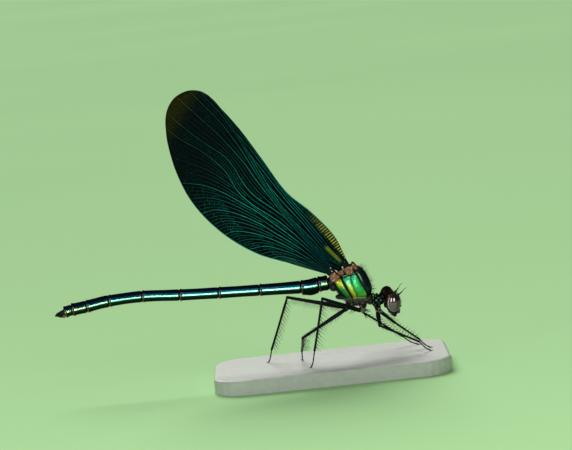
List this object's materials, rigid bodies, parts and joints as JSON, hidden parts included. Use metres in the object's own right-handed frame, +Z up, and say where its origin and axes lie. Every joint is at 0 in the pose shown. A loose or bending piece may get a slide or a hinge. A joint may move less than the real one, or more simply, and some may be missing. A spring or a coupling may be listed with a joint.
{
  "type": "damselfly",
  "caption": "Life-size still damselfly with dark metallic wings shut over its back, standing on a flat display base.",
  "frame": {"origin": "middle of the model's box, on the underside of the display base", "axes": "+X towards the head, +Y to the animal's left, +Z up"},
  "size_m": [0.052, 0.02, 0.0398],
  "materials": {
    "thorax_green": "glossy metallic green cuticle with fine dark hair",
    "abdomen_blue": "glossy metallic blue-green cuticle",
    "wing": "thin dark membrane with metallic blue-green veins",
    "hinge_brown": "satin orange-brown cuticle",
    "eye": "polished dark brown compound eye",
    "cuticle_black": "glossy black cuticle with a green cast",
    "leg_black": "satin black cuticle with a blue-grey sheen",
    "stand": "matte pale display base"
  },
  "bodies": {
    "root": {"abdomen_s1": "abdomen_blue", "abdomen_s10": "abdomen_blue", "abdomen_s2": "abdomen_blue", "abdomen_s3": "abdomen_blue", "abdomen_s4": "abdomen_blue", "abdomen_s5": "abdomen_blue", "abdomen_s6": "abdomen_blue", "abdomen_s7": "abdomen_blue", "abdomen_s8": "abdomen_blue", "abdomen_s9": "abdomen_blue", "antenna_left": "cuticle_black", "antenna_right": "cuticle_black", "cercus_left": "cuticle_black", "cercus_right": "cuticle_black", "clypeus": "cuticle_black", "coxa_fore_left": "leg_black", "coxa_fore_right": "leg_black", "coxa_hind_left": "leg_black", "coxa_hind_right": "leg_black", "coxa_middle_left": "leg_black", "coxa_middle_right": "leg_black", "eye_left": "eye", "eye_right": "eye", "femur_fore_left": "leg_black", "femur_fore_right": "leg_black", "femur_hind_left": "leg_black", "femur_hind_right": "leg_black", "femur_middle_left": "leg_black", "femur_middle_right": "leg_black", "head": "cuticle_black", "hinge_fore_left": "hinge_brown", "hinge_fore_right": "hinge_brown", "hinge_hind_left": "hinge_brown", "hinge_hind_right": "hinge_brown", "jaws": "cuticle_black", "labrum": "cuticle_black", "neck": "cuticle_black", "paraproct_left": "cuticle_black", "paraproct_right": "cuticle_black", "prothorax": "thorax_green", "stand_base": "stand", "synthorax": "thorax_green", "tarsus_fore_left": "leg_black", "tarsus_fore_right": "leg_black", "tarsus_hind_left": "leg_black", "tarsus_hind_right": "leg_black", "tarsus_middle_left": "leg_black", "tarsus_middle_right": "leg_black", "tibia_fore_left": "leg_black", "tibia_fore_right": "leg_black", "tibia_hind_left": "leg_black", "tibia_hind_right": "leg_black", "tibia_middle_left": "leg_black", "tibia_middle_right": "leg_black", "wing_fore_left": "wing", "wing_fore_right": "wing", "wing_hind_left": "wing", "wing_hind_right": "wing"}
  },
  "joints": []
}
